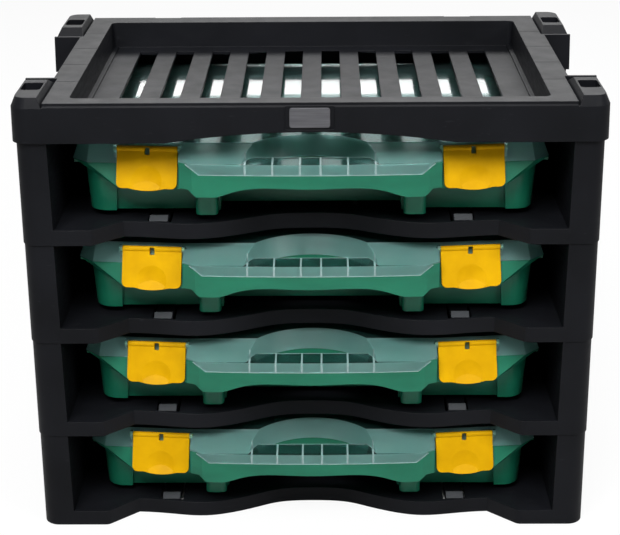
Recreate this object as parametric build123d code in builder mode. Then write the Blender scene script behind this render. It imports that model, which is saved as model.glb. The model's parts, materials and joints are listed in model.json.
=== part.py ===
from build123d import *
import math
import os

os.makedirs("parts", exist_ok=True)

# A stacking rack of open shelves under a slatted tray, holding one organiser case on each shelf.
# Millimetres, +Z up, +X to the right seen from the front, front towards -Y.
# The origin is under the middle of the rack, on the surface it stands on.
# Heights inside one tier are measured from that tier's lower edge, and depths from the rack's front.

# Rack
rack_width = 450.0
rack_depth = 290.0
tier_count = 4
tier_pitch = 83.2
post_width = 26.0
post_depth = 75.0
post_radius = 13.0
rack_wall = 3.0
side_wall = 3.5
mould_draft = 0.7
stack_clearance = 0.4

# Stacking lugs on the post tops
lug_height = 4.0
lug_base = 3.8
lug_lean = 24.0
lug_flat_length = 56.5
lug_nose_length = 72.0
lug_pocket_near = 26.5
lug_pocket_length = 21.0
lug_pocket_depth = 7.0
lug_pocket_wall = 1.2
lug_pocket_corner = 3.0

# Shelf
lip_height = 12.7
lip_wall = 3.0
lip_rise = 2.0
shelf_floor = 3.0
lip_flat = 28.5
lip_step_width = 23.5
lip_step_depth = 20.7
lip_bump_width = 63.0
lip_bump_depth = 15.0
lip_wave_width = 38.0
lip_wave_depth = 28.8
lip_centre_depth = 39.0
lip_corner = 7.0
back_stop_height = 26.0
back_stop_gap = 0.9
back_wall = 2.0
back_rib_spacing = 80.0
back_rib_count = 5
runner_height = 5.5
runner_width = 4.0
runner_spacing = 70.0
runner_count = 4
guide_height = 7.0
guide_wall = 3.0
guide_gap = 0.9
shelf_rib_wall = 2.5
shelf_rib_count = 5

# Spring tabs behind the lip
tab_inset = 79.5
tab_width = 15.0
tab_start = 20.0
tab_nose = 26.5
tab_length = 45.0
tab_slot = 2.0
tab_gap = 0.3

# Cap with the slatted tray
cap_height = 31.0
cap_overhang = 1.7
tray_side_rim = 16.6
tray_front = 14.3
tray_back = 20.5
tray_depth = 22.3
tray_corner = 5.0
tray_draft = 6.0
tray_floor = 3.0
tray_ledge = 3.6
tray_ledge_height = 1.5
slot_width = 16.1
slot_pitch = 32.7
slot_end_margin = 19.0
rim_step_depth = 1.7
rim_step_drop = 2.1
rim_chamfer = 1.7
apron_straight = 89.0
apron_arch_rise = 8.4
rim_line_count = 4
rim_line_spacing = 54.0
rim_line_width = 0.7
rim_line_depth = 0.25
back_notch_inset = 66.0
back_notch_width = 24.0
back_notch_depth = 3.2
back_notch_drop = 2.5

# Badge plate
badge_width = 30.6
badge_height = 15.4
badge_wall = 1.2
badge_corner = 2.2
badge_pad_margin = 3.4
badge_pad_depth = 1.2
badge_drop = 11.6

# Case, green base; the plan sizes are at the seam
case_wall = 2.0
tub_side_gap = 20.0
tub_front = 34.0
tub_radius = 18.0
tub_draft = 4.0
seam_rise = 42.7
flange_reach = 8.0
flange_back_reach = 2.0
flange_height = 5.0
flange_start = 46.0
flange_corner = 14.0
face_setback = 24.3
face_lean = 21.5
face_yaw = 5.0
face_outer_inset = 12.5
face_low_rise = 24.8
face_low_inset = 25.5
face_low_turn = 2.0
face_back = 60.0
corner_depth = 12.5

# Case, carrying handle
handle_front = 1.0
handle_bow = 3.2
handle_corner = 10.0
root_gap = 1.2
root_front = 8.5
root_back = 50.0
handle_back = 20.0
handle_seam_rise = 39.8
handle_top_rise = 48.5
seam_kink_outer = 5.4
seam_kink_inner = 15.5
handle_low_rise = 28.8
handle_waist_rise = 26.2
handle_waist_inset = 41.0
handle_foot_rise = 21.8
handle_foot_inner = 27.0
handle_foot_outer = 13.0
handle_step_inset = 7.0
handle_root_rise = 27.8
foot_width = 17.5
foot_inset = 10.5
foot_front = 25.0
foot_radius = 4.5
panel_depth = 4.0
panel_column = 28.0
recess_depth = 58.0
recess_rise = 20.0
recess_side = 1.5
scoop_centre = -9.3
hole_radius = 51.3
scoop_radius = 58.3
rib_wall = 1.6
rib_places = (7.9, 28.9, 49.9)

# Case, clear lid
lid_rise = 58.3
lid_wall = 1.8
seam_gap = 0.15
shoulder_front = 4.0
shoulder_back = 30.0

# Latches
latch_inset = 61.0
latch_width = 47.6
latch_length = 33.2
latch_wall = 2.4
latch_standoff = 1.6
latch_corner = 4.5
latch_above_pivot = 2.2
latch_pivot_rise = 54.4
latch_barrel_radius = 2.3
latch_lip_width = 28.0
latch_lip_drop = 1.8
latch_lip_rise = 1.1
latch_scoop_radius = 12.0
latch_scoop_depth = 1.7
latch_slot_width = 3.8
latch_slot_length = 5.6
latch_slot_rim = 1.3
ear_wall = 2.2
ear_gap = 0.3
ear_drop = 9.0
ear_radius = 3.1
pin_radius = 1.5
pin_clearance = 0.05
pin_side_gap = 0.4
keeper_width = 30.0
keeper_height = 1.4
keeper_depth = 0.7
keeper_up = 4.5
hook_clearance = 0.1
hook_height = 2.0
hook_width = 20.0
latch_scoop_up = 5.8

# Rear hinge of the lid
hinge_inset = 69.0
hinge_back_gap = 0.7
hinge_reach = 0.6
hinge_barrel_length = 24.0
hinge_barrel_radius = 3.0
hinge_ear_wall = 4.0
hinge_gap = 0.4

# Dividers
column_count = 5
long_wall = 1.8
cross_wall = 1.5
divider_clearance = 0.3
long_top_gap = 1.6
cross_top_gap = 3.0
crosses = (3, 2, 3, 2, 3)

# Places worked out from the sizes above
front = -rack_depth / 2
inner_half = rack_width / 2 - post_width
outer_half = rack_width / 2
skin_half = inner_half + side_wall
floor_top = lip_height - lip_rise
cap_bottom = tier_pitch * tier_count
lean_slope = math.tan(math.radians(face_lean))
yaw_slope = math.tan(math.radians(face_yaw))
draft_slope = math.tan(math.radians(tub_draft))

# Heights of the case, which stands on the shelf's runners
case_bottom = floor_top + runner_height
seam_height = case_bottom + seam_rise
face_low = case_bottom + face_low_rise
handle_seam = case_bottom + handle_seam_rise
handle_top = case_bottom + handle_top_rise
handle_low_centre = case_bottom + handle_low_rise
handle_low_waist = case_bottom + handle_waist_rise
handle_low_foot = case_bottom + handle_foot_rise
handle_low_root = case_bottom + handle_root_rise
lid_top = case_bottom + lid_rise
latch_pivot_height = case_bottom + latch_pivot_rise

# Widths of the case, between the rack's side walls
tub_half_width = inner_half - tub_side_gap
flange_half_width = tub_half_width + flange_reach
face_outer = flange_half_width - face_outer_inset
face_low_outer = face_outer - face_low_inset
latch_centre = flange_half_width - latch_inset
root_half = latch_centre - latch_width / 2 - root_gap
handle_flat_half = root_half - handle_corner
seam_kink_out = root_half - seam_kink_outer
seam_kink_in = root_half - seam_kink_inner
handle_waist_x = root_half - handle_waist_inset
handle_foot_in = root_half - handle_foot_inner
handle_foot_out = root_half - handle_foot_outer
foot_outer = root_half - foot_inset
foot_inner = foot_outer - foot_width
panel_outer = tub_half_width - panel_column
hinge_spacing = tub_half_width - hinge_inset

# Depths at the back, from the rack's back wall forward
hinge_depth = rack_depth - mould_draft - back_wall - hinge_back_gap - hinge_barrel_radius
flange_back = hinge_depth - hinge_barrel_radius - hinge_reach
tub_back = flange_back - flange_back_reach
back_stop_depth = tub_back - (seam_height - back_stop_height) * draft_slope + back_stop_gap

# Latch, measured from its lower edge up
keeper_drop = latch_length - latch_above_pivot - keeper_up
latch_scoop_drop = latch_length - latch_above_pivot - latch_scoop_up


def tier_rise(number):
    """Height of a tier's lower edge; tier 1 is the top one."""
    return tier_pitch * (tier_count - number)


def save(piece, label):
    """Labels a finished piece and writes it."""
    piece.part.label = label
    export_step(piece.part, "parts/" + label + ".step")


def at_corners(vertex, x, y):
    """Whether a plan vertex lies on the outermost corners."""
    return abs(abs(vertex.X) - x) < 0.01 and abs(abs(vertex.Y) - y) < 0.01


def post_places(half_x, half_y):
    """Centres of the four corner posts."""
    x = half_x - post_width / 2
    y = half_y - post_depth / 2
    return [(x, y), (-x, y), (x, -y), (-x, -y)]


def corner_blocks(half_x, half_y, inset):
    """Plan of the four post sections, rounded at the rack's outer corners."""
    with BuildSketch() as plan:
        with Locations(*post_places(half_x, half_y)):
            Rectangle(post_width - 2 * inset, post_depth - 2 * inset)
        corners = [v for v in plan.vertices() if at_corners(v, half_x - inset, half_y - inset)]
        fillet(corners, radius=post_radius - inset)
    return plan.sketch


def stack_lugs(top, half_x, half_y, inset):
    """The four stacking lugs of a moulding whose posts end at the given height."""
    crest = top + lug_height
    with BuildPart() as lugs:
        with BuildSketch(Plane.XY.offset(top - lug_base)):
            add(corner_blocks(half_x, half_y, inset))
        extrude(amount=lug_base + lug_height, taper=lug_lean)
        # the end towards the middle of the rack slopes down
        with BuildSketch(Plane.YZ):
            with BuildLine():
                Polyline(
                    (-half_y + lug_flat_length, crest),
                    (-half_y + lug_nose_length, top - lug_base),
                    (-half_y + post_depth, top - lug_base),
                    (-half_y + post_depth, crest + lug_height),
                    (-half_y + lug_flat_length, crest + lug_height),
                    close=True,
                )
            make_face()
            mirror(about=Plane.YZ)
        extrude(amount=rack_width, both=True, mode=Mode.SUBTRACT)
    return lugs.part


def lug_pockets(top, half_x, half_y, inset):
    """The recesses in the tops of the four lugs."""
    lean_in = (lug_base + lug_height) * math.tan(math.radians(lug_lean))
    x = half_x - post_width / 2
    y = half_y - lug_pocket_near - lug_pocket_length / 2
    with BuildPart() as recesses:
        with BuildSketch(Plane.XY.offset(top + lug_height - lug_pocket_depth)):
            with Locations((x, y), (-x, y), (x, -y), (-x, -y)):
                RectangleRounded(
                    post_width - 2 * (inset + lean_in + lug_pocket_wall),
                    lug_pocket_length,
                    lug_pocket_corner,
                )
        extrude(amount=lug_pocket_depth + lug_height)
    return recesses.part


# Shelf tiers: open in front, corner posts that plug into the tier above


def shelf_front_line(shift):
    """Plan of the lip: straight at the posts, stepped back at the latches, waved at the hand."""
    y = front + shift
    lip_straight = inner_half - lip_flat
    lip_step_in = lip_straight - lip_step_width
    lip_bump_x = lip_step_in - lip_bump_width
    lip_wave_x = lip_bump_x - lip_wave_width
    with BuildLine() as line:
        Polyline((inner_half + side_wall / 2, y), (lip_straight, y), (lip_step_in, y + lip_step_depth))
        Spline(
            (lip_step_in, y + lip_step_depth),
            (lip_bump_x, y + lip_bump_depth),
            (lip_wave_x, y + lip_wave_depth),
            (0, y + lip_centre_depth),
            tangents=((-1, -0.04), (-1, 0)),
        )
    return line.line


def shelf_region(shift, back_margin):
    """Plan of a shelf, bounded by the lip line and the side walls."""
    half = shelf_front_line(shift)
    reach = inner_half + side_wall / 2
    with BuildSketch() as region:
        with BuildLine():
            add(half)
            mirror(half, about=Plane.YZ)
            Polyline(
                (reach, front + shift),
                (reach, -front - back_margin),
                (-reach, -front - back_margin),
                (-reach, front + shift),
            )
        make_face()
        bends = [v for v in region.vertices() if abs(abs(v.X) - inner_half + lip_flat) < 0.01]
        fillet(bends, radius=lip_corner)
    return region.sketch


shelf_plan = shelf_region(0, 0)
shelf_inside = shelf_region(lip_wall, lip_wall) & Rectangle(2 * inner_half, 2 * rack_depth)

with BuildPart() as shelf:
    with BuildSketch():
        for side in (-1, 1):
            with Locations((side * (inner_half + side_wall / 2), 0)):
                Rectangle(side_wall, rack_depth)
        with Locations(*post_places(outer_half, rack_depth / 2)):
            Rectangle(post_width, post_depth)
    extrude(amount=tier_pitch, taper=math.degrees(math.atan(mould_draft / tier_pitch)))
    outer_edges = shelf.edges().filter_by(
        lambda edge: abs(edge.center().X) > outer_half - mould_draft - 0.1
        and abs(edge.center().Y) > rack_depth / 2 - mould_draft - 0.1
    )
    fillet(outer_edges, radius=post_radius)
    with BuildSketch():
        add(shelf_plan)
    extrude(amount=lip_height)
    # hollow underside, with stiffening ribs left standing
    with BuildSketch():
        add(shelf_inside)
        with GridLocations(2 * inner_half / shelf_rib_count, 0, shelf_rib_count, 1):
            Rectangle(shelf_rib_wall, 2 * rack_depth, mode=Mode.SUBTRACT)
        with Locations((0, rack_depth / 6)):
            Rectangle(2 * inner_half, shelf_rib_wall, mode=Mode.SUBTRACT)
    extrude(amount=floor_top - shelf_floor, mode=Mode.SUBTRACT)
    # the floor lies a little below the lip's top edge
    with BuildSketch(Plane.XY.offset(floor_top)):
        add(shelf_inside)
    extrude(amount=lip_rise, mode=Mode.SUBTRACT)
    # back stop
    with BuildSketch(Plane.XY.offset(floor_top)):
        with Locations((0, front + back_stop_depth + lip_wall / 2)):
            Rectangle(2 * inner_half + side_wall, lip_wall)
    extrude(amount=back_stop_height - floor_top)
    # closed back with shallow ribs
    with BuildSketch():
        with Locations((0, rack_depth / 2 - mould_draft - back_wall / 2)):
            Rectangle(2 * inner_half + side_wall, back_wall)
    extrude(amount=tier_pitch)
    with BuildSketch():
        with Locations((0, rack_depth / 2 - back_wall / 2)):
            with GridLocations(back_rib_spacing, 0, back_rib_count, 1):
                Rectangle(shelf_rib_wall, back_wall)
    extrude(amount=tier_pitch)
    # runners that the case stands on
    runner_start = front + lip_centre_depth + tab_nose
    runner_end = front + back_stop_depth
    with BuildSketch(Plane.XY.offset(floor_top)):
        with Locations((0, (runner_start + runner_end) / 2)):
            with GridLocations(runner_spacing, 0, runner_count, 1):
                Rectangle(runner_width, runner_end - runner_start)
    extrude(amount=runner_height)
    # guide ribs beside the case
    tub_slope = (seam_height - floor_top - guide_height) * draft_slope
    guide_x = tub_half_width - tub_slope + guide_gap + guide_wall / 2
    with BuildSketch(Plane.XY.offset(floor_top)):
        with Locations(*[(side * guide_x, (runner_start + runner_end) / 2) for side in (-1, 1)]):
            Rectangle(guide_wall, runner_end - runner_start)
    extrude(amount=guide_height)
    # hollow posts, open below
    with BuildSketch():
        add(corner_blocks(outer_half, rack_depth / 2, rack_wall))
    extrude(amount=tier_pitch - lug_pocket_depth + lug_height - rack_wall, mode=Mode.SUBTRACT)
    # stacking lugs
    shelf_lug_inset = rack_wall + stack_clearance
    add(stack_lugs(tier_pitch, outer_half, rack_depth / 2, shelf_lug_inset))
    add(lug_pockets(tier_pitch, outer_half, rack_depth / 2, shelf_lug_inset), mode=Mode.SUBTRACT)
    # spring tabs: a tongue cut free of the floor, with a ramp at its end
    tab_y = front + tab_start
    tab_centre = inner_half - tab_inset
    for side in (-1, 1):
        with BuildSketch(Plane.XY.offset(floor_top - shelf_floor)):
            for edge in (-1, 1):
                x = side * tab_centre + edge * (tab_width + tab_slot) / 2
                with Locations((x, tab_y + lip_wall + tab_length / 2)):
                    Rectangle(tab_slot, tab_length)
        extrude(amount=shelf_floor, mode=Mode.SUBTRACT)
        with BuildSketch(Plane.YZ.offset(side * tab_centre)):
            with BuildLine():
                Polyline(
                    (tab_y, floor_top - shelf_floor),
                    (tab_y, lip_height),
                    (front + tab_nose, case_bottom - tab_gap),
                    (front + tab_nose + lip_wall, floor_top),
                    (front + tab_nose + lip_wall, floor_top - shelf_floor),
                    close=True,
                )
            make_face()
        extrude(amount=tab_width / 2, both=True)

for number in range(1, tier_count + 1):
    with BuildPart(Plane.XY.offset(tier_rise(number))) as shelf_tier:
        add(shelf.part)
    save(shelf_tier, f"shelf_tier_{number}")


# Cap: a hollow rim round a slatted tray, with the same lugs on its corners

cap_half_x = outer_half + cap_overhang
cap_half_y = rack_depth / 2 + cap_overhang
cap_side_half = skin_half + cap_overhang
tray_top = cap_bottom + cap_height
tray_half_width = inner_half - tray_side_rim
tray_floor_top = tray_top - tray_depth
tray_length = rack_depth - tray_front - tray_back
tray_middle = front + tray_front + tray_length / 2
slot_length = tray_length - 2 * slot_end_margin
slot_count = int(2 * tray_half_width / slot_pitch) - 1


def cap_outline(inset):
    """Plan of the cap: a plain rim with a block at each corner post."""
    with BuildSketch() as plan:
        Rectangle(2 * (cap_side_half - inset), 2 * (cap_half_y - inset))
        for side in (-1, 1):
            for end in (-1, 1):
                x = side * (cap_half_x - inset + inner_half) / 2
                y = end * (rack_depth - post_depth) / 2
                with Locations((x, y)):
                    Rectangle(cap_half_x - inset - inner_half, post_depth + 2 * (cap_overhang - inset))
        corners = [v for v in plan.vertices() if at_corners(v, cap_half_x - inset, cap_half_y - inset)]
        fillet(corners, radius=post_radius - inset)
    return plan.sketch


with BuildPart() as top_tray:
    with BuildSketch(Plane.XY.offset(cap_bottom)):
        add(cap_outline(0))
    extrude(amount=cap_height, taper=math.degrees(math.atan(mould_draft / cap_height)))
    # the rim plate stands back from the aprons by a small step over a chamfer
    with BuildSketch(Plane.YZ):
        with BuildLine():
            Polyline(
                (cap_half_y - rim_step_depth, tray_top + rim_step_drop),
                (cap_half_y - rim_step_depth, tray_top - rim_step_drop),
                (cap_half_y, tray_top - rim_step_drop - rim_chamfer),
                (cap_half_y, tray_top + rim_step_drop),
                close=True,
            )
        make_face()
        mirror(about=Plane.YZ)
    extrude(amount=cap_half_x - post_width, both=True, mode=Mode.SUBTRACT)
    # the corners are cut down for the lugs, which lean in on all sides
    with BuildSketch(Plane.XY.offset(tray_top - lug_base)):
        add(corner_blocks(cap_half_x, cap_half_y, 0))
    extrude(amount=2 * lug_base, mode=Mode.SUBTRACT)
    # hollow rim, open below, round the tray's own walls
    tray_outer_x = 2 * (tray_half_width + rack_wall)
    tray_outer_y = tray_length + 2 * rack_wall
    with BuildSketch(Plane.XY.offset(cap_bottom)):
        add(cap_outline(rack_wall + mould_draft))
        with Locations((0, tray_middle)):
            Rectangle(tray_outer_x, tray_outer_y, mode=Mode.SUBTRACT)
    extrude(amount=cap_height - rack_wall - rim_step_drop, mode=Mode.SUBTRACT)
    with BuildSketch(Plane.XY.offset(cap_bottom)):
        with Locations((0, tray_middle)):
            Rectangle(tray_outer_x, tray_outer_y)
    extrude(amount=tray_floor_top - tray_floor - cap_bottom, mode=Mode.SUBTRACT)
    # tray
    with BuildSketch(Plane.XY.offset(tray_top)):
        with Locations((0, tray_middle)):
            RectangleRounded(2 * tray_half_width, tray_length, tray_corner)
    extrude(amount=-tray_depth, taper=tray_draft, mode=Mode.SUBTRACT)
    with BuildSketch(Plane.XY.offset(tray_floor_top - tray_floor)):
        with Locations((0, tray_middle)):
            with GridLocations(slot_pitch, 0, slot_count, 1):
                Rectangle(slot_width, slot_length)
    extrude(amount=tray_floor, mode=Mode.SUBTRACT)
    # narrow ledge along both sides of the tray's floor
    ledge_x = tray_half_width - (tray_depth - tray_ledge_height) * math.tan(math.radians(tray_draft))
    with BuildSketch(Plane.XY.offset(tray_floor_top)):
        for side in (-1, 1):
            with Locations((side * (ledge_x - tray_ledge / 2 + tray_floor / 2), tray_middle)):
                Rectangle(tray_ledge + tray_floor, tray_length - 2 * tray_corner)
    extrude(amount=tray_ledge_height)
    # shallow arch along the lower edge of both aprons
    apron_arch_half = inner_half - apron_straight
    with BuildSketch(Plane.XZ):
        with BuildLine():
            ThreePointArc(
                (-apron_arch_half, cap_bottom),
                (0, cap_bottom + apron_arch_rise),
                (apron_arch_half, cap_bottom),
            )
            Line((apron_arch_half, cap_bottom), (-apron_arch_half, cap_bottom))
        make_face()
    extrude(amount=rack_depth, both=True, mode=Mode.SUBTRACT)
    # fine lines across the side rims
    rim_line_half = (cap_side_half - tray_half_width) / 2
    with BuildSketch(Plane.XY.offset(tray_top - rim_line_depth)):
        with GridLocations(2 * (tray_half_width + rim_line_half), rim_line_spacing, 2, rim_line_count):
            Rectangle(2 * rim_line_half, rim_line_width)
    extrude(amount=rim_line_depth, mode=Mode.SUBTRACT)
    # two notches in the rear edge of the rim
    notch_x = inner_half - back_notch_inset
    with BuildSketch(Plane.XY.offset(tray_top - rim_step_drop - back_notch_drop)):
        with Locations(*[(side * notch_x, cap_half_y - back_notch_depth / 2) for side in (-1, 1)]):
            Rectangle(back_notch_width, back_notch_depth)
    extrude(amount=rim_step_drop + back_notch_drop, mode=Mode.SUBTRACT)
    # corner lugs
    add(stack_lugs(tray_top, cap_half_x, cap_half_y, mould_draft))
    add(lug_pockets(tray_top, cap_half_x, cap_half_y, mould_draft), mode=Mode.SUBTRACT)
    # pad that the badge is seated on
    pad_width = badge_width + 2 * badge_pad_margin
    badge_middle = tray_top - badge_drop
    with BuildSketch(Plane.XZ.offset(cap_half_y)):
        with Locations((0, badge_middle)):
            RectangleRounded(pad_width, badge_height + badge_pad_margin, badge_corner)
    extrude(amount=-badge_pad_depth, mode=Mode.SUBTRACT)
save(top_tray, "top_tray")

with BuildPart() as badge_plate:
    with BuildSketch(Plane.XZ.offset(cap_half_y - badge_pad_depth)):
        with Locations((0, badge_middle)):
            RectangleRounded(badge_width, badge_height, badge_corner)
    extrude(amount=badge_wall)
    fillet(badge_plate.faces().sort_by(Axis.Y)[0].edges(), radius=badge_wall / 4)
save(badge_plate, "badge_plate")


# Organiser case. One is modelled at the lowest tier's heights, then placed on each tier.

handle_zone = face_setback - yaw_slope * (latch_centre - root_half)
tub_floor_top = case_bottom + case_wall
face_gap = latch_standoff + latch_wall / 2


def y_at(depth):
    """World Y of a depth measured from the rack's front."""
    return depth - rack_depth / 2


def face_depth(x, height):
    """Depth of the leaning front face that the latches lie on."""
    return face_setback + lean_slope * (height - seam_height) + yaw_slope * (abs(x) - latch_centre)


def tub_form(inset, bottom):
    """The tub as a solid, dented behind the hand hole and under the latches, narrowing downwards."""
    recess_half = foot_inner - recess_side + inset
    dent_reach = root_half / math.sqrt(3)
    dent_depth = scoop_centre + hole_radius + case_wall - tub_front
    dent_radius = (dent_reach**2 + dent_depth**2) / (2 * dent_depth)
    length = tub_back - tub_front - 2 * inset
    with BuildPart() as form:
        with BuildSketch(Plane.XY.offset(seam_height)):
            with Locations((0, y_at((tub_front + tub_back) / 2))):
                RectangleRounded(2 * (tub_half_width - inset), length, tub_radius - inset)
            with Locations((0, y_at(tub_front + dent_depth - dent_radius))):
                Circle(dent_radius + inset, mode=Mode.SUBTRACT)
            for side in (-1, 1):
                with Locations((side * (foot_outer + panel_outer) / 2, y_at(tub_front))):
                    Rectangle(
                        panel_outer - foot_outer + 2 * inset,
                        2 * (panel_depth + inset),
                        mode=Mode.SUBTRACT,
                    )
        extrude(amount=bottom - seam_height, taper=tub_draft)
        # the lower part of the wall between the feet stands further back
        with BuildSketch(Plane.XY.offset(bottom)):
            with Locations((0, y_at((recess_depth + inset) / 2))):
                Rectangle(2 * recess_half, recess_depth + inset)
        extrude(amount=case_bottom + recess_rise + inset - bottom, mode=Mode.SUBTRACT)
    return form.part


def case_outline(inset):
    """Plan of the case at the seam, without its handle."""
    side = flange_half_width - inset
    corner = face_depth(face_outer, seam_height) + corner_depth
    with BuildSketch() as plan:
        with BuildLine():
            Polyline(
                (0, y_at(handle_zone + inset)),
                (root_half, y_at(handle_zone + inset)),
                (face_outer - inset / 2, y_at(face_depth(face_outer, seam_height) + inset)),
                (side, y_at(corner + inset / 2)),
                (side, y_at(flange_back - inset)),
                (0, y_at(flange_back - inset)),
                close=True,
            )
        make_face()
        mirror(about=Plane.YZ)
        rear_y = y_at(flange_back - inset)
        rear = [v for v in plan.vertices() if abs(v.Y - rear_y) < 0.01 and abs(v.X) > 1]
        fillet(rear, radius=flange_corner - inset)
    return plan.sketch


def handle_plan(inset):
    """Plan of the handle and its two roots, bowed forward in the middle."""
    side = root_half - inset
    flat = handle_flat_half - inset / 2
    bowed = y_at(handle_front + handle_bow + inset)
    with BuildSketch() as plan:
        with BuildLine():
            Polyline(
                (-flat, bowed),
                (-side, y_at(root_front + inset / 2)),
                (-side, y_at(root_back)),
                (side, y_at(root_back)),
                (side, y_at(root_front + inset / 2)),
                (flat, bowed),
            )
            ThreePointArc((flat, bowed), (0, y_at(handle_front + inset)), (-flat, bowed))
        make_face()
    return plan.sketch


def hand_hole_plan(grow):
    """Plan of the opening between the handle and the case."""
    radius = hole_radius + grow
    with BuildSketch() as plan:
        with Locations((0, y_at(scoop_centre))):
            Circle(radius)
        with Locations((0, y_at(handle_back - grow - radius))):
            Rectangle(2 * radius, 2 * radius, mode=Mode.SUBTRACT)
    return plan.sketch


def below_seam(gap):
    """Everything under the seam, which runs lower along the handle and higher at its roots."""
    beyond = rack_width / 2
    with BuildPart() as lower:
        with BuildSketch(Plane.XZ.offset(-y_at(handle_zone + gap))):
            with BuildLine():
                Polyline(
                    (0, 0),
                    (beyond, 0),
                    (beyond, seam_height + gap),
                    (root_half + gap, seam_height + gap),
                    (root_half + gap, handle_top + gap),
                    (seam_kink_out, handle_top + gap),
                    (seam_kink_in, handle_seam + gap),
                    (0, handle_seam + gap),
                    close=True,
                )
            make_face()
            mirror(about=Plane.YZ)
        extrude(amount=rack_depth)
        with BuildSketch():
            with Locations((0, y_at(handle_zone - gap + rack_depth / 2))):
                Rectangle(2 * beyond, rack_depth)
        extrude(amount=seam_height + gap)
    return lower.part


def handle_form(inset):
    """Handle and roots of the base, well past the seam."""
    with BuildPart() as form:
        with BuildSketch():
            add(handle_plan(inset))
            add(hand_hole_plan(inset), mode=Mode.SUBTRACT)
        extrude(amount=lid_top)
        with BuildSketch(Plane.XZ):
            with BuildLine():
                Spline(
                    (0, handle_low_centre + inset),
                    (handle_waist_x, handle_low_waist + inset),
                    (handle_foot_in, handle_low_foot + inset),
                    tangents=((1, 0), (1, -0.2)),
                )
                Polyline(
                    (handle_foot_in, handle_low_foot + inset),
                    (handle_foot_out, handle_low_foot + inset),
                    (root_half - handle_step_inset, handle_low_root + inset),
                    (root_half, handle_low_root + inset),
                    (root_half, 2 * seam_height),
                    (0, 2 * seam_height),
                    (0, handle_low_centre + inset),
                )
            make_face()
            mirror(about=Plane.YZ)
        extrude(amount=rack_depth, both=True, mode=Mode.INTERSECT)
    return form.part


def foot_form(inset):
    """The two feet under the handle's roots, rounded in front."""
    width = foot_outer - foot_inner - 2 * inset
    length = tub_front + tub_draft + foot_radius - foot_front - inset
    with BuildPart() as form:
        with BuildSketch(Plane.XY.offset(case_bottom + inset)):
            for side in (-1, 1):
                x = side * (foot_inner + foot_outer) / 2
                with Locations((x, y_at(foot_front + inset + length / 2))):
                    RectangleRounded(width, length, foot_radius - inset)
        extrude(amount=seam_height - case_bottom - flange_height)
    return form.part


def facet_form(inset):
    """The two leaning fronts under the latches, wider at the seam than at their lower edge."""
    low = face_low + inset
    skin = inset / math.cos(math.radians(face_lean))
    low_side = face_low_outer + face_low_turn - inset
    top_side = flange_half_width - 2 * inset
    corner = face_depth(face_outer, seam_height) + corner_depth
    with BuildPart() as form:
        with BuildSketch(Plane.XY.offset(low)):
            with BuildLine():
                Polyline(
                    (root_half, y_at(face_depth(root_half, low) + skin)),
                    (face_low_outer - inset, y_at(face_depth(face_low_outer, low) + skin)),
                    (low_side, y_at(face_depth(face_low_outer, low) + face_low_turn + skin)),
                    (low_side, y_at(tub_front + tub_radius)),
                    (root_half, y_at(tub_front + tub_radius)),
                    close=True,
                )
            make_face()
        with BuildSketch(Plane.XY.offset(seam_height)):
            with BuildLine():
                Polyline(
                    (root_half, y_at(handle_zone + skin)),
                    (face_outer - inset / 2, y_at(face_depth(face_outer, seam_height) + skin)),
                    (top_side, y_at(corner + inset / 2)),
                    (top_side, y_at(face_back - inset)),
                    (root_half, y_at(face_back - inset)),
                    close=True,
                )
            make_face()
        loft(ruled=True)
        mirror(about=Plane.YZ)
    return form.part


def latch_plane(side, rise):
    """Frame of a latch: x along its pivot, y up the case's leaning face, z out of it."""
    yaw = math.radians(face_yaw)
    steep = math.hypot(1, yaw_slope, lean_slope)
    height = latch_pivot_height + rise
    out = (side * yaw_slope / steep, -1 / steep, lean_slope / steep)
    depth = face_depth(latch_centre, latch_pivot_height) - face_gap * steep
    along = (math.cos(yaw), side * math.sin(yaw), 0)
    return Plane(origin=(side * latch_centre, y_at(depth), height), x_dir=along, z_dir=out)


with BuildPart() as pockets:
    add(handle_form(case_wall))
    add(foot_form(case_wall))
    add(facet_form(case_wall))
    add(tub_form(0, case_bottom), mode=Mode.SUBTRACT)

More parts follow.
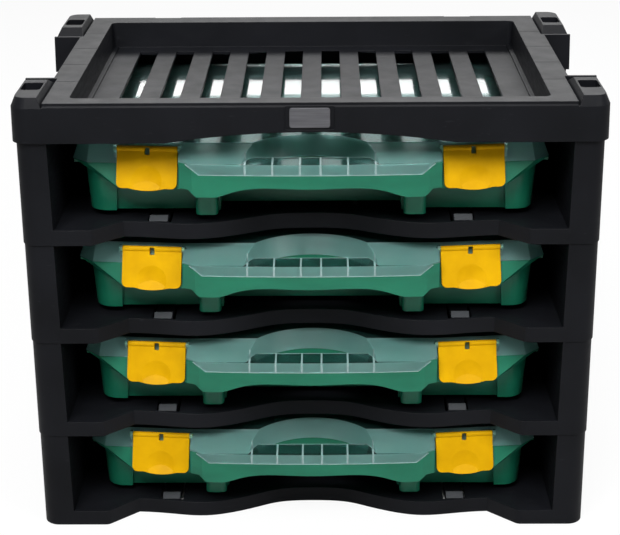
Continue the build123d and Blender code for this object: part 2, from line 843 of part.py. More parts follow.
with BuildPart() as case_base:
    add(tub_form(0, case_bottom))
    with BuildSketch(Plane.XY.offset(seam_height - flange_height)):
        add(case_outline(0))
        with Locations((0, y_at(flange_start / 2))):
            Rectangle(rack_width, flange_start, mode=Mode.SUBTRACT)
    extrude(amount=flange_height)
    add(facet_form(0))
    add(handle_form(0))
    add(foot_form(0))
    add(below_seam(0), mode=Mode.INTERSECT)
    with BuildSketch():
        add(hand_hole_plan(0))
    extrude(amount=lid_top, mode=Mode.SUBTRACT)
    add(pockets.part, mode=Mode.SUBTRACT)
    add(tub_form(case_wall, tub_floor_top), mode=Mode.SUBTRACT)
    # the flange is a turned-down rim, open below
    with BuildSketch(Plane.XY.offset(seam_height - flange_height)):
        add(case_outline(case_wall))
        with Locations((0, y_at((tub_front + tub_back) / 2))):
            RectangleRounded(2 * tub_half_width, tub_back - tub_front, tub_radius, mode=Mode.SUBTRACT)
        with Locations((0, y_at(face_back / 2))):
            Rectangle(rack_width, face_back, mode=Mode.SUBTRACT)
    extrude(amount=flange_height - case_wall, mode=Mode.SUBTRACT)
    # ridges that the latches close over
    for side in (-1, 1):
        with BuildSketch(latch_plane(side, 0).offset(-face_gap - case_wall / 2)):
            with Locations((0, -keeper_drop)):
                Rectangle(keeper_width, keeper_height)
        extrude(amount=case_wall / 2 + keeper_depth)
    # rear hinge ears
    ear_shift = (hinge_barrel_length + hinge_ear_wall) / 2 + hinge_gap
    for x in [side * hinge_spacing + end * ear_shift for side in (-1, 1) for end in (-1, 1)]:
        with BuildSketch(Plane.YZ.offset(x)):
            with Locations((y_at(hinge_depth), seam_height)):
                Circle(hinge_barrel_radius)
            with Locations((y_at((tub_back + hinge_depth) / 2), seam_height - hinge_barrel_radius / 2)):
                Rectangle(hinge_depth - tub_back, hinge_barrel_radius)
        extrude(amount=hinge_ear_wall / 2, both=True)
    with BuildSketch(Plane.YZ):
        with Locations((y_at(hinge_depth), seam_height)):
            Circle(pin_radius + pin_clearance)
    extrude(amount=rack_width / 2, both=True, mode=Mode.SUBTRACT)


# Lid: a clear shell over the base, with the upper half of the handle


def scoop_form(grow):
    """What is cut away behind and above the handle: a cone that widens upwards."""
    climb = lid_top - seam_height
    low_limit = handle_top - grow
    flare = math.degrees(math.atan((scoop_radius - hole_radius) / climb))
    with BuildPart() as form:
        with BuildSketch(Plane.XY.offset(seam_height)):
            with Locations((0, y_at(scoop_centre))):
                Circle(hole_radius + grow)
        extrude(amount=climb + 1, taper=-flare)
        with BuildSketch(Plane.XY.offset(seam_height)):
            with Locations((0, y_at(handle_back - grow - scoop_radius))):
                Rectangle(2 * root_half, 2 * scoop_radius)
        extrude(amount=low_limit - seam_height, mode=Mode.SUBTRACT)
        with BuildSketch(Plane.XY.offset(handle_seam - case_wall)):
            add(hand_hole_plan(grow))
        extrude(amount=seam_height - handle_seam + case_wall)
    return form.part


def lid_form(inset):
    """Outside of the lid as a solid, sloping in all round, with shoulders over the handle's roots."""
    with BuildPart() as form:
        with BuildSketch(Plane.XY.offset(handle_seam - case_wall)):
            add(handle_plan(inset))
        extrude(amount=lid_top - handle_seam + case_wall)
        with BuildSketch(Plane.YZ):
            with BuildLine():
                Polyline(
                    (y_at(-root_back), 0),
                    (y_at(-root_back), handle_top - inset),
                    (y_at(shoulder_front), handle_top - inset),
                    (y_at(shoulder_back), lid_top - inset),
                    (y_at(root_back), lid_top - inset),
                    (y_at(root_back), 0),
                    close=True,
                )
            make_face()
        extrude(amount=rack_width, both=True, mode=Mode.INTERSECT)
        with BuildSketch(Plane.XY.offset(seam_height)):
            add(case_outline(inset))
        extrude(amount=lid_top - inset - seam_height, taper=face_lean)
        add(scoop_form(inset), mode=Mode.SUBTRACT)
    return form.part


with BuildPart() as handle_ribs:
    with BuildSketch(Plane.XY.offset(handle_seam)):
        for place in rib_places:
            for side in (-1, 1):
                with Locations((side * place, y_at(handle_back / 2))):
                    Rectangle(rib_wall, handle_back)
    extrude(amount=handle_top - handle_seam)
    add(lid_form(0), mode=Mode.INTERSECT)

with BuildPart() as lid:
    add(lid_form(0))
    add(lid_form(lid_wall), mode=Mode.SUBTRACT)
    add(handle_ribs.part)
    add(below_seam(seam_gap), mode=Mode.SUBTRACT)
    # ears that carry the latches
    ear_middle = (latch_width + ear_wall) / 2 + ear_gap
    for side in (-1, 1):
        plane = latch_plane(side, 0)
        for end in (-1, 1):
            ear_origin = plane.from_local_coords((end * ear_middle, 0, 0))
            ear_plane = Plane(origin=ear_origin, x_dir=plane.y_dir, z_dir=plane.x_dir)
            with BuildSketch(ear_plane):
                with BuildLine():
                    Polyline(
                        (ear_radius, 0),
                        (-ear_radius, 0),
                        (-ear_drop, -face_gap - lid_wall / 2),
                        (ear_radius, -face_gap - lid_wall / 2),
                        close=True,
                    )
                make_face()
                Circle(ear_radius)
            extrude(amount=ear_wall / 2, both=True)
        with BuildSketch(Plane(origin=plane.origin, x_dir=plane.y_dir, z_dir=plane.x_dir)):
            Circle(pin_radius + pin_clearance)
        extrude(amount=ear_middle + ear_wall, both=True, mode=Mode.SUBTRACT)
    # rear hinge barrels with stub pins
    for side in (-1, 1):
        with BuildSketch(Plane.YZ.offset(side * hinge_spacing)):
            with Locations((y_at(hinge_depth), seam_height)):
                Circle(hinge_barrel_radius)
            with BuildLine():
                Polyline(
                    (y_at(flange_back - lid_wall), seam_height + seam_gap),
                    (y_at(flange_back - lid_wall), seam_height + hinge_barrel_radius),
                    (y_at(hinge_depth), seam_height + hinge_barrel_radius),
                    (y_at(hinge_depth), seam_height + seam_gap),
                    close=True,
                )
            make_face()
        extrude(amount=hinge_barrel_length / 2, both=True)
        with BuildSketch(Plane.YZ.offset(side * hinge_spacing)):
            with Locations((y_at(hinge_depth), seam_height)):
                Circle(pin_radius)
        extrude(amount=hinge_barrel_length / 2 + hinge_gap + hinge_ear_wall - pin_side_gap, both=True)


# Latch, in its own frame: x along the pivot, y up, z outwards

low_end = latch_above_pivot - latch_length
lip_radius = ((latch_lip_width / 2) ** 2 + latch_lip_drop**2) / (2 * latch_lip_drop)


def thumb_lip():
    """The part of the latch's face that leans outwards below the middle of its dish."""
    with BuildPart() as lip:
        with BuildSketch(Plane.XY.offset(-latch_wall / 2)):
            with Locations((0, -latch_scoop_drop)):
                Circle(latch_scoop_radius)
            with Locations((0, low_end - latch_lip_drop + lip_radius)):
                Circle(lip_radius, mode=Mode.INTERSECT)
        extrude(amount=latch_wall + latch_lip_rise)
        with BuildSketch(Plane.YZ):
            with BuildLine():
                Polyline(
                    (low_end - latch_lip_drop, -latch_wall / 2),
                    (low_end - latch_lip_drop, latch_wall / 2 + latch_lip_rise),
                    (-latch_scoop_drop, latch_wall / 2 - latch_scoop_depth),
                    (-latch_scoop_drop, -latch_wall / 2),
                    close=True,
                )
            make_face()
        extrude(amount=latch_scoop_radius, both=True, mode=Mode.INTERSECT)
    return lip.part


with BuildPart() as latch:
    with BuildSketch(Plane.XY.offset(-latch_wall / 2)) as latch_face:
        with Locations((0, (latch_above_pivot + low_end) / 2)):
            Rectangle(latch_width, latch_length)
        fillet(latch_face.vertices().group_by(Axis.Y)[0], radius=latch_corner)
    extrude(amount=latch_wall)
    # the lower edge bulges down in the middle
    with BuildSketch(Plane.XY.offset(-latch_wall / 2)):
        with Locations((0, low_end - latch_lip_drop + lip_radius)):
            Circle(lip_radius)
        with Locations((0, low_end + lip_radius)):
            Rectangle(2 * lip_radius, 2 * lip_radius, mode=Mode.SUBTRACT)
    extrude(amount=latch_wall)
    # dished face, with a lip that leans out of its lower half
    ball_radius = (latch_scoop_radius**2 + latch_scoop_depth**2) / (2 * latch_scoop_depth)
    with Locations((0, -latch_scoop_drop, latch_wall / 2 - latch_scoop_depth + ball_radius)):
        Sphere(ball_radius, mode=Mode.SUBTRACT)
    add(thumb_lip())
    # hook behind the lower edge
    with BuildSketch(Plane.XY.offset(-face_gap + keeper_depth + hook_clearance)):
        with Locations((0, -keeper_drop - keeper_height / 2 - hook_height / 2)):
            Rectangle(hook_width, hook_height)
    extrude(amount=latch_standoff)
    # barrel and stub pins
    with BuildSketch(Plane.YZ):
        Circle(latch_barrel_radius)
    extrude(amount=latch_width / 2, both=True)
    with BuildSketch(Plane.YZ):
        Circle(pin_radius)
    extrude(amount=ear_middle + ear_wall / 2 - pin_side_gap, both=True)
    # slot at the top
    with BuildSketch(Plane.XY.offset(-latch_barrel_radius)):
        with Locations((0, latch_above_pivot - latch_slot_rim - latch_slot_length / 2)):
            Rectangle(latch_slot_width, latch_slot_length)
    extrude(amount=2 * latch_barrel_radius, mode=Mode.SUBTRACT)


# Dividers standing on the tub's floor: long ones from front to back, short ones between them

floor_narrowing = (seam_height - tub_floor_top) * draft_slope
column_pitch = 2 * (tub_half_width - case_wall - floor_narrowing) / column_count
inside_front = tub_front + case_wall
inside_back = tub_back - case_wall

with BuildPart() as long_dividers:
    with BuildSketch(Plane.XY.offset(tub_floor_top)):
        with GridLocations(column_pitch, 0, column_count - 1, 1):
            Rectangle(long_wall, rack_depth)
    extrude(amount=seam_height - long_top_gap - tub_floor_top)
    add(tub_form(case_wall + divider_clearance, tub_floor_top), mode=Mode.INTERSECT)

with BuildPart() as cross_dividers:
    with BuildSketch(Plane.XY.offset(tub_floor_top)):
        for column in range(column_count):
            x = (column - (column_count - 1) / 2) * column_pitch
            span = column_pitch - long_wall - 2 * divider_clearance
            count = crosses[column]
            for row in range(count):
                depth = inside_front + (inside_back - inside_front) * (row + 1) / (count + 1)
                if column == 0:
                    with Locations((x + span / 2 - tub_radius * 3, y_at(depth))):
                        Rectangle(tub_radius * 6, cross_wall)
                elif column == column_count - 1:
                    with Locations((x - span / 2 + tub_radius * 3, y_at(depth))):
                        Rectangle(tub_radius * 6, cross_wall)
                else:
                    with Locations((x, y_at(depth))):
                        Rectangle(span, cross_wall)
    extrude(amount=seam_height - cross_top_gap - tub_floor_top)
    add(tub_form(case_wall + divider_clearance, tub_floor_top), mode=Mode.INTERSECT)

for number in range(1, tier_count + 1):
    rise = tier_rise(number)
    with BuildPart(Plane.XY.offset(rise)) as base_copy:
        add(case_base.part)
    save(base_copy, f"case_base_{number}")
    with BuildPart(Plane.XY.offset(rise)) as lid_copy:
        add(lid.part)
    save(lid_copy, f"lid_{number}")
    with BuildPart(Plane.XY.offset(rise)) as long_copy:
        add(long_dividers.part)
    save(long_copy, f"long_dividers_{number}")
    with BuildPart(Plane.XY.offset(rise)) as cross_copy:
        add(cross_dividers.part)
    save(cross_copy, f"cross_dividers_{number}")
    with BuildPart(latch_plane(-1, rise)) as left_copy:
        add(latch.part)
    save(left_copy, f"latch_left_{number}")
    with BuildPart(latch_plane(1, rise)) as right_copy:
        add(latch.part)
    save(right_copy, f"latch_right_{number}")
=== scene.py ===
import json
import math

import bmesh
import bpy
from mathutils import Matrix, Vector


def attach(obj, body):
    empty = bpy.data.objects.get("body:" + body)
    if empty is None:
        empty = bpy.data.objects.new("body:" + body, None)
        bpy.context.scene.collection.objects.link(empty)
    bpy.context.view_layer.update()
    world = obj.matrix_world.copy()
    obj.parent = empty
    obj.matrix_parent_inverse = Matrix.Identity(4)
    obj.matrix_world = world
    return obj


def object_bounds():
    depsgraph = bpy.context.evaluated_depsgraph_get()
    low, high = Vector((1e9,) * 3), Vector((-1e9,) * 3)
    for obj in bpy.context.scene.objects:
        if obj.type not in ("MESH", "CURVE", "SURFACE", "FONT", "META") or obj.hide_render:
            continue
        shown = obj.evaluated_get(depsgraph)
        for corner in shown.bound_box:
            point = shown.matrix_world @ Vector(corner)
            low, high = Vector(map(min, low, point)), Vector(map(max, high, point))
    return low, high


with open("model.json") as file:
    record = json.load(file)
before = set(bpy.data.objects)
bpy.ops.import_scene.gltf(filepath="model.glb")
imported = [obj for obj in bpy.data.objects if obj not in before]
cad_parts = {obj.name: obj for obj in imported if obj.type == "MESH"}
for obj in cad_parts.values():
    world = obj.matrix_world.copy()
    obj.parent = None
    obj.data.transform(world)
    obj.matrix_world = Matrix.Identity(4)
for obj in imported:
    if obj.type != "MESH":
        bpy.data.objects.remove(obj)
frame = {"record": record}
cad_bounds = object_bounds()

TIERS = (1, 2, 3, 4)

# Camera: place and angles that match the photograph
CAMERA_PLACE = (0.01256, -1.249, 0.6746)
CAMERA_PITCH = 0.382
CAMERA_YAW = -0.012
CAMERA_ROLL = -0.008
CAMERA_FOCAL_PX = 1527.6
CAMERA_REACH = 20.0
PHOTO_WIDTH = 620
SENSOR = 36.0

# Lights: name, place, target, size, power in watts
LIGHTS = (
    ("back_softbox", (0.1, 1.6, 1.45), (0.0, 0.0, 0.3), (1.6, 0.5), 20.0),
    ("top_softbox", (0.0, -0.6, 1.8), (0.0, 0.0, 0.25), (1.2, 0.9), 11.0),
    ("front_softbox", (-0.3, -1.3, 1.75), (0.0, 0.0, 0.18), (1.0, 0.8), 38.0),
    ("right_softbox", (1.3, -1.2, 1.4), (0.0, 0.0, 0.2), (0.7, 0.8), 13.0),
)

# Room: its strength as light, and as gloss between a direction in front and one behind
WORLD_LIGHT = 0.136
GLOSS_FRONT = 0.128
GLOSS_BACK = 0.8
ROOM_FRONT = -0.5
ROOM_BACK = 0.7

# Floor: how much of its whiteness is its own, and where the rack's footprint hides that
FLOOR_HALF = 30.0
FLOOR_DROP = 0.0002
FLOOR_WHITE = 0.86
FLOOR_GLOW = 0.92
FLOOR_BOUNCE = 0.5
FLOOR_GLOSS = 0.16
FOOTPRINT = (0.2, 0.106)
FOOTPRINT_EDGE = 0.004

# Darkest and lightest tone of each material, as sRGB numbers
RACK_TONES = ((15, 16, 19), (22, 23, 27))
SCUFF_TONE = (52, 53, 56)
# Paler tones of the spring tabs' faces: a painted sheen, not the plastic's own colour
TAB_SHEEN_TONES = ((58, 60, 63), (72, 74, 77))
CASE_TONES = ((14, 98, 74), (24, 114, 86))
DIVIDER_TONES = ((22, 102, 78), (34, 118, 92))
LID_SLOPE_TONES = ((150, 208, 202), (174, 222, 217))
LID_FRONT_TONES = ((96, 150, 144), (116, 166, 160))
LID_TOP_TONES = ((140, 170, 170), (158, 184, 184))
# Pale tones of the lid's edge and rib strips: a painted highlight of light caught in the clear
# edges
LID_EDGE_HIGHLIGHT_TONES = ((136, 170, 168), (170, 196, 194))
LATCH_TONES = ((196, 147, 0), (212, 162, 0))
BADGE_TONES = ((84, 84, 88), (104, 104, 108))

# Levels of a noise between which it is spread over tones or values
NOISE_SPAN = (0.3, 0.75)
SHARE = (0.0, 1.0)

# Lid top: how far its thin plastic sags, over what length, and how its front band blends in
SAG_LENGTH = 0.34
SAG_MIDDLE = 0.072
SAG_HEIGHT = 0.01
SAG_START = -0.085
SAG_END = 0.14
SAG_BLEND = 0.005
SAG_RIPPLE = 0.04
LEVEL_SPAN = (0.94, 0.99)

# Case front, in metres, as in the part's source
HANDLE_FRONT_Y = -0.144
HANDLE_BOW = 0.0032
HANDLE_FLAT_HALF = 0.091
HANDLE_SEAM_RISE = 0.05615
HANDLE_TOP_RISE = 0.0647
SEAM_KINK_IN = 0.0855
SEAM_KINK_OUT = 0.0956
TIER_PITCH = 0.0832
RIB_PLACES = (0.0079, 0.0289, 0.0499)
HANDLE_BACK_Y = -0.125
SCOOP_CENTRE_Y = -0.1543
SCOOP_TOP_RADIUS = 0.0539
BRIM_HALF = 0.052
WALL_RIB_Y = -0.1283
WALL_RIB_RISE = 0.0699
WALL_RIB_OUT = (0.846, -0.345, 0.41)

# Pale strips on the handle, a painted highlight along its edges and ribs: width and height of each
# strip, and how far short of an edge the ribs stop
SEAM_STRIP = (0.0007, 0.0001)
RIB_END_STRIP = (0.0019, 0.00012)
RIB_TOP_STRIP = (0.0017, 0.0001)
BACK_STRIP = (0.0005, 0.00008)
RIB_LOW_GAP = 0.0003
RIB_HIGH_GAP = 0.0002

# Spring tabs of the shelves: place across, half width, and lower and upper edge of the ramp
TAB_PLACE = 0.1195
TAB_HALF = 0.0072
TAB_LOW = (-0.1251, 0.0129)
TAB_HIGH = (-0.1186, 0.0159)
TAB_SKIN = 0.00012


def look_from(place, target):
    """Rotation that points a lamp's -Z from one place at another."""
    return (Vector(target) - Vector(place)).to_track_quat("-Z", "Y").to_euler()


def make_camera():
    """The photograph's viewpoint."""
    lens = bpy.data.cameras.new("camera")
    lens.sensor_width = SENSOR
    lens.lens = CAMERA_FOCAL_PX / PHOTO_WIDTH * SENSOR
    lens.clip_end = CAMERA_REACH
    camera = bpy.data.objects.new("camera", lens)
    bpy.context.scene.collection.objects.link(camera)
    level = Vector((math.sin(CAMERA_YAW), math.cos(CAMERA_YAW), 0.0))
    forward = level * math.cos(CAMERA_PITCH) - Vector((0, 0, math.sin(CAMERA_PITCH)))
    up = level * math.sin(CAMERA_PITCH) + Vector((0, 0, math.cos(CAMERA_PITCH)))
    right = Vector((math.cos(CAMERA_YAW), -math.sin(CAMERA_YAW), 0.0))
    rolled_right = right * math.cos(CAMERA_ROLL) + up * math.sin(CAMERA_ROLL)
    rolled_up = up * math.cos(CAMERA_ROLL) - right * math.sin(CAMERA_ROLL)
    turn = Matrix((rolled_right, rolled_up, -forward)).transposed().to_4x4()
    camera.matrix_world = Matrix.Translation(CAMERA_PLACE) @ turn
    bpy.context.scene.camera = camera


def make_lights():
    """Soft boxes behind, above, in front and to the right."""
    for name, place, target, size, power in LIGHTS:
        lamp = bpy.data.lights.new(name, "AREA")
        lamp.shape = "RECTANGLE"
        lamp.size, lamp.size_y = size
        lamp.energy = power
        holder = bpy.data.objects.new(name, lamp)
        holder.location = place
        holder.visible_camera = False
        holder.rotation_euler = look_from(place, target)
        bpy.context.scene.collection.objects.link(holder)


def ray_kinds(tree):
    """Two factors: 1 for rays from the camera or through glass, and 1 for rays off gloss."""
    paths = tree.nodes.new("ShaderNodeLightPath")
    seen = tree.nodes.new("ShaderNodeMath")
    seen.operation = "MAXIMUM"
    tree.links.new(paths.outputs["Is Camera Ray"], seen.inputs[0])
    tree.links.new(paths.outputs["Is Transmission Ray"], seen.inputs[1])
    return seen.outputs[0], paths.outputs["Is Glossy Ray"]


def choose(tree, factor, without, chosen):
    """Mix of two shaders by a factor."""
    mix = tree.nodes.new("ShaderNodeMixShader")
    tree.links.new(factor, mix.inputs[0])
    tree.links.new(without, mix.inputs[1])
    tree.links.new(chosen, mix.inputs[2])
    return mix.outputs[0]


def background(tree, strength):
    """White background of a fixed strength, or of a linked one."""
    node = tree.nodes.new("ShaderNodeBackground")
    node.inputs["Color"].default_value = (1, 1, 1, 1)
    if isinstance(strength, bpy.types.NodeSocket):
        tree.links.new(strength, node.inputs["Strength"])
    else:
        node.inputs["Strength"].default_value = strength
    return node.outputs[0]


def make_world():
    """White to the camera, a dimmer white as light, and a room that is darker in front as gloss."""
    world = bpy.data.worlds.new("studio")
    world.use_nodes = True
    tree = world.node_tree
    tree.nodes.clear()
    out = tree.nodes.new("ShaderNodeOutputWorld")
    seen, glossy = ray_kinds(tree)
    way = tree.nodes.new("ShaderNodeTexCoord")
    split = tree.nodes.new("ShaderNodeSeparateXYZ")
    tree.links.new(way.outputs["Generated"], split.inputs[0])
    room = tree.nodes.new("ShaderNodeMapRange")
    room.interpolation_type = "SMOOTHSTEP"
    tree.links.new(split.outputs["Y"], room.inputs["Value"])
    room.inputs["From Min"].default_value = ROOM_FRONT
    room.inputs["From Max"].default_value = ROOM_BACK
    room.inputs["To Min"].default_value = GLOSS_FRONT
    room.inputs["To Max"].default_value = GLOSS_BACK
    lit = choose(tree, glossy, background(tree, WORLD_LIGHT), background(tree, room.outputs[0]))
    whole = choose(tree, seen, lit, background(tree, 1.0))
    tree.links.new(whole, out.inputs["Surface"])
    bpy.context.scene.world = world


def make_floor():
    """A plain white floor that keeps a soft shadow and is dark under the rack."""
    half = FLOOR_HALF
    mesh = bpy.data.meshes.new("floor")
    corners = [(-half, -half, 0), (half, -half, 0), (half, half, 0), (-half, half, 0)]
    mesh.from_pydata(corners, [], [(0, 1, 2, 3)])
    floor = bpy.data.objects.new("floor", mesh)
    bpy.context.scene.collection.objects.link(floor)
    floor.location.z = cad_bounds[0][2] - FLOOR_DROP
    material = bpy.data.materials.new("floor_white")
    material.use_nodes = True
    tree = material.node_tree
    tree.nodes.clear()
    out = tree.nodes.new("ShaderNodeOutputMaterial")
    diffuse = tree.nodes.new("ShaderNodeBsdfDiffuse")
    diffuse.inputs["Color"].default_value = (FLOOR_WHITE, FLOOR_WHITE, FLOOR_WHITE, 1)
    dim = tree.nodes.new("ShaderNodeBsdfDiffuse")
    dim.inputs["Color"].default_value = (FLOOR_BOUNCE, FLOOR_BOUNCE, FLOOR_BOUNCE, 1)
    glow = tree.nodes.new("ShaderNodeEmission")
    glow.inputs["Strength"].default_value = 1.0
    place = tree.nodes.new("ShaderNodeTexCoord")
    split = tree.nodes.new("ShaderNodeSeparateXYZ")
    tree.links.new(place.outputs["Object"], split.inputs[0])
    outside = None
    for axis, edge in zip(("X", "Y"), FOOTPRINT):
        reach = tree.nodes.new("ShaderNodeMath")
        reach.operation = "ABSOLUTE"
        tree.links.new(split.outputs[axis], reach.inputs[0])
        step = tree.nodes.new("ShaderNodeMapRange")
        tree.links.new(reach.outputs[0], step.inputs["Value"])
        step.inputs["From Min"].default_value = edge - FOOTPRINT_EDGE
        step.inputs["From Max"].default_value = edge
        step.inputs["To Max"].default_value = FLOOR_GLOW
        if outside is None:
            outside = step.outputs[0]
        else:
            larger = tree.nodes.new("ShaderNodeMath")
            larger.operation = "MAXIMUM"
            tree.links.new(outside, larger.inputs[0])
            tree.links.new(step.outputs[0], larger.inputs[1])
            outside = larger.outputs[0]
    bright = choose(tree, outside, diffuse.outputs[0], glow.outputs[0])
    seen, glossy = ray_kinds(tree)
    any_of = tree.nodes.new("ShaderNodeMath")
    any_of.operation = "MULTIPLY_ADD"
    tree.links.new(glossy, any_of.inputs[0])
    any_of.inputs[1].default_value = FLOOR_GLOSS
    tree.links.new(seen, any_of.inputs[2])
    tree.links.new(choose(tree, any_of.outputs[0], dim.outputs[0], bright), out.inputs["Surface"])
    mesh.materials.append(material)


class Shader:
    """A material under construction: a Principled shader and helpers that feed its sockets."""

    def __init__(self, name):
        self.material = bpy.data.materials.new(name)
        self.material.use_nodes = True
        self.tree = self.material.node_tree
        self.bsdf = self.tree.nodes["Principled BSDF"]
        self.place = self.tree.nodes.new("ShaderNodeTexCoord").outputs["Object"]

    def add(self, kind, **values):
        """A node with the given input values; a value that is a socket is linked."""
        node = self.tree.nodes.new(kind)
        for key, value in values.items():
            self.feed(node.inputs[key.replace("_", " ")], value)
        return node

    def feed(self, socket, value):
        """Sets or links one socket."""
        if isinstance(value, bpy.types.NodeSocket):
            self.tree.links.new(value, socket)
        else:
            socket.default_value = value

    def noise(self, scale, detail=2.0, stretch=(1, 1, 1)):
        """Noise over the object's own coordinates, in steps per metre."""
        mapping = self.add("ShaderNodeMapping", Vector=self.place, Scale=stretch)
        vector = mapping.outputs[0]
        node = self.add("ShaderNodeTexNoise", Vector=vector, Scale=scale, Detail=detail)
        return node.outputs["Fac"]

    def ramp(self, fac, span, tones):
        """Spreads a value between two levels over two tones."""
        node = self.tree.nodes.new("ShaderNodeValToRGB")
        for element, level, tone in zip(node.color_ramp.elements, span, tones):
            element.position = level
            element.color = shade(tone)
        self.feed(node.inputs["Fac"], fac)
        return node.outputs["Color"]

    def mix(self, factor, first, second):
        """Mixes two colours by a factor."""
        node = self.tree.nodes.new("ShaderNodeMix")
        node.data_type = "RGBA"
        for place, value in zip((0, 6, 7), (factor, first, second)):
            self.feed(node.inputs[place], value)
        return node.outputs[2]

    def spread(self, fac, span, to):
        """Maps a value from one range to another."""
        node = self.tree.nodes.new("ShaderNodeMapRange")
        for socket, value in zip(node.inputs, (fac, *span, *to)):
            self.feed(socket, value)
        return node.outputs[0]

    def sum(self, first, second, times):
        """The first value and so many times the second."""
        node = self.tree.nodes.new("ShaderNodeMath")
        node.operation = "MULTIPLY_ADD"
        for socket, value in zip(node.inputs, (second, times, first)):
            self.feed(socket, value)
        return node.outputs[0]

    def shape(self, **values):
        """Sets or links inputs of the Principled shader, named with underscores for spaces."""
        for key, value in values.items():
            self.feed(self.bsdf.inputs[key.replace("_", " ")], value)

    def bump(self, height, strength, distance, edge=None):
        """Raises the surface by a height, over edges rounded by a radius where one is given."""
        node = self.add("ShaderNodeBump", Height=height, Strength=strength, Distance=distance)
        if edge is not None:
            rounded = self.add("ShaderNodeBevel", Radius=edge)
            self.feed(node.inputs["Normal"], rounded.outputs["Normal"])
        return node.outputs["Normal"]


def linear(number):
    """Linear value of an sRGB number of 0 to 255."""
    part = number / 255
    return ((part + 0.055) / 1.055) ** 2.4 if number > 10 else part / 12.92


def shade(tone):
    """Opaque linear colour of a tone."""
    return (*(linear(number) for number in tone), 1.0)


def rack_plastic(name, tones):
    """Moulded plastic of the rack with a fine grain, pale scuffs and faint handling marks."""
    s = Shader(name)
    base = s.ramp(s.noise(scale=14.0, detail=4.0), (0.35, 0.7), tones)
    scuffs = s.noise(scale=420.0, detail=3.0, stretch=(0.25, 1, 1))
    worn = s.spread(scuffs, (0.68, 0.8), (0.0, 0.35))
    marks = s.noise(scale=55.0, detail=6.0, stretch=(1, 1, 6))
    s.shape(
        Base_Color=s.mix(worn, base, shade(SCUFF_TONE)),
        Roughness=s.spread(marks, NOISE_SPAN, (0.40, 0.52)),
        Specular_IOR_Level=0.11,
        Normal=s.bump(s.noise(scale=2600.0), strength=0.25, distance=0.00012, edge=0.0009),
    )
    return s.material


def green_plastic(name, tones):
    """Green moulded plastic with faint flow clouds."""
    s = Shader(name)
    cloud = s.noise(scale=18.0, detail=5.0, stretch=(1, 1, 3))
    s.shape(
        Base_Color=s.ramp(cloud, (0.3, 0.72), tones),
        Roughness=s.spread(cloud, (0.3, 0.7), (0.34, 0.44)),
        Subsurface_Weight=0.12,
        Subsurface_Scale=0.002,
        Specular_IOR_Level=0.4,
        Normal=s.bump(s.noise(scale=1400.0), strength=0.12, distance=0.0001, edge=0.0006),
    )
    return s.material


def sag(s, depth):
    """Normal of a lid's thin top, which sags in one long wave and ripples a little."""
    wave = s.tree.nodes.new("ShaderNodeMath")
    wave.operation = "SINE"
    turn = 2 * math.pi / SAG_LENGTH
    held = s.spread(depth, (SAG_START, SAG_END), (SAG_START, SAG_END))
    s.feed(wave.inputs[0], s.sum(-SAG_MIDDLE * turn, held, turn))
    ripple = s.noise(scale=22.0, detail=1.0, stretch=(0.4, 1, 1))
    height = s.sum(wave.outputs[0], ripple, SAG_RIPPLE)
    return s.bump(height, strength=1.0, distance=SAG_HEIGHT, edge=0.0005)


def clear_plastic():
    """Clear moulded plastic, milky where it slopes and duller on the front band of its flat top."""
    s = Shader("lid_clear_plastic")
    haze = s.noise(scale=30.0, detail=5.0)
    level = s.add("ShaderNodeSeparateXYZ", Vector=s.place.node.outputs["Normal"]).outputs["Z"]
    depth = s.add("ShaderNodeSeparateXYZ", Vector=s.place).outputs["Y"]
    inner = s.spread(depth, (SAG_START - SAG_BLEND, SAG_START + SAG_BLEND), SHARE)
    flat = s.spread(level, LEVEL_SPAN, SHARE)
    top = s.sum(0.0, flat, inner)
    slope_tint = s.ramp(haze, NOISE_SPAN, LID_SLOPE_TONES)
    front_tint = s.ramp(haze, NOISE_SPAN, LID_FRONT_TONES)
    top_tint = s.ramp(haze, NOISE_SPAN, LID_TOP_TONES)
    s.shape(
        Base_Color=s.mix(top, s.mix(flat, slope_tint, front_tint), top_tint),
        Roughness=s.sum(s.spread(haze, NOISE_SPAN, (0.32, 0.4)), flat, -0.24),
        Transmission_Weight=s.spread(flat, SHARE, (0.82, 0.96)),
        IOR=1.45,
        Specular_IOR_Level=s.sum(s.spread(top, SHARE, (0.1, 0.6)), flat, -0.1),
        Normal=sag(s, depth),
    )
    return s.material


def edge_highlight_plastic():
    """Pale milky plastic of the lid's cut edges and of the ribs inside its handle; its paleness is
    a painted highlight of light caught in the clear edges.
    """
    s = Shader("lid_edge_painted_highlight")
    haze = s.noise(scale=220.0, detail=4.0)
    s.shape(
        Base_Color=s.ramp(haze, NOISE_SPAN, LID_EDGE_HIGHLIGHT_TONES),
        Roughness=s.spread(haze, NOISE_SPAN, (0.3, 0.45)),
        Transmission_Weight=0.25,
        Normal=s.bump(haze, strength=0.1, distance=0.0001),
    )
    return s.material


def latch_plastic():
    """Yellow moulded plastic, slightly mottled."""
    s = Shader("latch_yellow_plastic")
    cloud = s.noise(scale=60.0, detail=4.0)
    s.shape(
        Base_Color=s.ramp(cloud, NOISE_SPAN, LATCH_TONES),
        Roughness=s.spread(cloud, NOISE_SPAN, (0.46, 0.58)),
        Specular_IOR_Level=0.07,
        Normal=s.bump(s.noise(scale=1800.0), strength=0.15, distance=0.0001, edge=0.0006),
    )
    return s.material


def badge_plastic():
    """Plain grey plate."""
    s = Shader("badge_grey_plastic")
    brushed = s.noise(scale=300.0, detail=3.0, stretch=(0.1, 1, 3))
    s.shape(
        Base_Color=s.ramp(brushed, (0.3, 0.7), BADGE_TONES),
        Metallic=0.5,
        Roughness=s.spread(brushed, (0.3, 0.7), (0.35, 0.5)),
        Normal=s.bump(brushed, strength=0.1, distance=0.0001, edge=0.0003),
    )
    return s.material


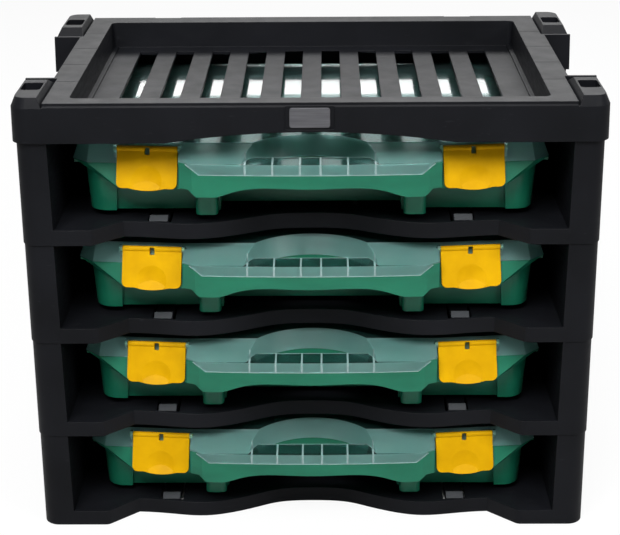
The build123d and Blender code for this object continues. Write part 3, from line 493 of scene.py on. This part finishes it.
MATERIALS = {
    "rack_black": rack_plastic("rack_black_plastic", RACK_TONES),
    "case_green": green_plastic("case_green_plastic", CASE_TONES),
    "divider_green": green_plastic("divider_green_plastic", DIVIDER_TONES),
    "lid_clear": clear_plastic(),
    "latch_yellow": latch_plastic(),
    "badge_grey": badge_plastic(),
}
# Plastic of the pale edge and rib strips: a painted highlight
EDGE_HIGHLIGHT_PLASTIC = edge_highlight_plastic()
# Paler plastic for the spring tab faces: a painted sheen
TAB_SHEEN_PLASTIC = rack_plastic("rack_painted_sheen_plastic", TAB_SHEEN_TONES)


def dress_nodes():
    """Gives every CAD node its material."""
    slots = {entry["node"]: entry["material_slot"] for entry in frame["record"]["subparts"]}
    for node, slot in slots.items():
        piece = bpy.data.objects[node]
        piece.data.materials.clear()
        piece.data.materials.append(MATERIALS[slot])


def handle_front(x):
    """Y of the front of a case's handle at a place along it."""
    radius = (HANDLE_FLAT_HALF**2 + HANDLE_BOW**2) / (2 * HANDLE_BOW)
    return HANDLE_FRONT_Y + radius - math.sqrt(radius**2 - x**2)


def spans(half, steps):
    """Places across the case, in so many even steps to each side of the middle."""
    return [half * (k / steps - 1) for k in range(2 * steps + 1)]


def close_tube(form, rows):
    """Faces round rows of four corners, with both ends closed."""
    for first, second in zip(rows, rows[1:]):
        for a in range(4):
            b = (a + 1) % 4
            form.faces.new((first[a], second[a], second[b], first[b]))
    form.faces.new(rows[0])
    form.faces.new(rows[-1])


def place_piece(form, name, material, tier, host):
    """Turns a form made at the lowest tier into a piece at its own tier, riding on a body."""
    bmesh.ops.recalc_face_normals(form, faces=form.faces)
    mesh = bpy.data.meshes.new(name)
    form.to_mesh(mesh)
    form.free()
    mesh.materials.append(material)
    piece = bpy.data.objects.new(name, mesh)
    bpy.context.scene.collection.objects.link(piece)
    piece.location.z = TIER_PITCH * (TIERS[-1] - tier)
    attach(piece, host)


def strip(name, path, out, section, tier):
    """A thin strip along points of a case at the lowest tier, riding on a lid."""
    form = bmesh.new()
    width, proud = section
    points = [Vector(point) for point in path]
    raised = Vector(out).normalized() * proud
    rows = []
    for index, point in enumerate(points):
        along = points[min(index + 1, len(points) - 1)] - points[max(index - 1, 0)]
        across = raised.cross(along).normalized() * width / 2
        sides = ((-1.0, -1.0), (-0.6, 1.0), (0.6, 1.0), (1.0, -1.0))
        rows.append([form.verts.new(point + across * k + raised * d) for k, d in sides])
    close_tube(form, rows)
    place_piece(form, name, EDGE_HIGHLIGHT_PLASTIC, tier, f"lid_{tier}")


def back_edge(x):
    """Y of the back edge of the handle's top at a place along it."""
    round_part = SCOOP_CENTRE_Y + math.sqrt(max(SCOOP_TOP_RADIUS**2 - x**2, 0.0))
    return min(HANDLE_BACK_Y, round_part)


def dress_handle(tier):
    """The lid's edges along its handle, and the ribs that show inside, as pale strips with a
    painted highlight.
    """
    level = [(x, handle_front(x), HANDLE_SEAM_RISE) for x in spans(SEAM_KINK_IN, 12)]
    kink_y = handle_front(SEAM_KINK_OUT)
    ends = [(side * SEAM_KINK_OUT, kink_y, HANDLE_TOP_RISE) for side in (-1, 1)]
    strip(f"lid_seam_edge_{tier}", [ends[0], *level, ends[1]], (0, -1, 0), SEAM_STRIP, tier)
    low = HANDLE_SEAM_RISE + RIB_LOW_GAP
    high = HANDLE_TOP_RISE - RIB_HIGH_GAP
    for number, x in enumerate([side * place for side in (-1, 1) for place in RIB_PLACES]):
        y = handle_front(x)
        rib = [(x, y, low), (x, y, high)]
        strip(f"lid_rib_end_{tier}_{number}", rib, (0, -1, 0), RIB_END_STRIP, tier)
        top = [(x, y + RIB_HIGH_GAP, HANDLE_TOP_RISE), (x, back_edge(x), HANDLE_TOP_RISE)]
        strip(f"lid_rib_top_{tier}_{number}", top, (0, 0, 1), RIB_TOP_STRIP, tier)
    outer = RIB_PLACES[-1]
    for side in (-1, 1):
        foot = (side * outer, back_edge(outer), HANDLE_TOP_RISE)
        climb = (side * outer, WALL_RIB_Y, WALL_RIB_RISE)
        out = (-side * WALL_RIB_OUT[0], WALL_RIB_OUT[1], WALL_RIB_OUT[2])
        strip(f"lid_wall_rib_{tier}_{side + 1}", [foot, climb], out, RIB_TOP_STRIP, tier)
    edge = [(x, back_edge(x), HANDLE_TOP_RISE) for x in spans(BRIM_HALF, 16)]
    strip(f"lid_back_edge_{tier}", edge, (0, 0, 1), BACK_STRIP, tier)


def dress_tabs(tier):
    """The paler faces of a shelf's two spring tabs, a painted sheen on thin plates laid on their
    ramps.
    """
    rise = Vector(TAB_HIGH) - Vector(TAB_LOW)
    out = Vector((-rise.y, rise.x)).normalized() * TAB_SKIN
    outline = ((TAB_LOW, -1), (TAB_LOW, 1), (TAB_HIGH, 1), (TAB_HIGH, -1))
    corners = [Vector(end) + out * k for end, k in outline]
    for side in (-1, 1):
        form = bmesh.new()
        ends = (side * TAB_PLACE - TAB_HALF, side * TAB_PLACE + TAB_HALF)
        close_tube(form, [[form.verts.new((x, *corner)) for corner in corners] for x in ends])
        name = f"tab_face_{tier}_{side + 1}"
        place_piece(form, name, TAB_SHEEN_PLASTIC, tier, "rack")


make_camera()
make_lights()
make_world()
make_floor()
dress_nodes()
for number in TIERS:
    dress_handle(number)
    dress_tabs(number)

bpy.context.scene.view_settings.view_transform = "Standard"
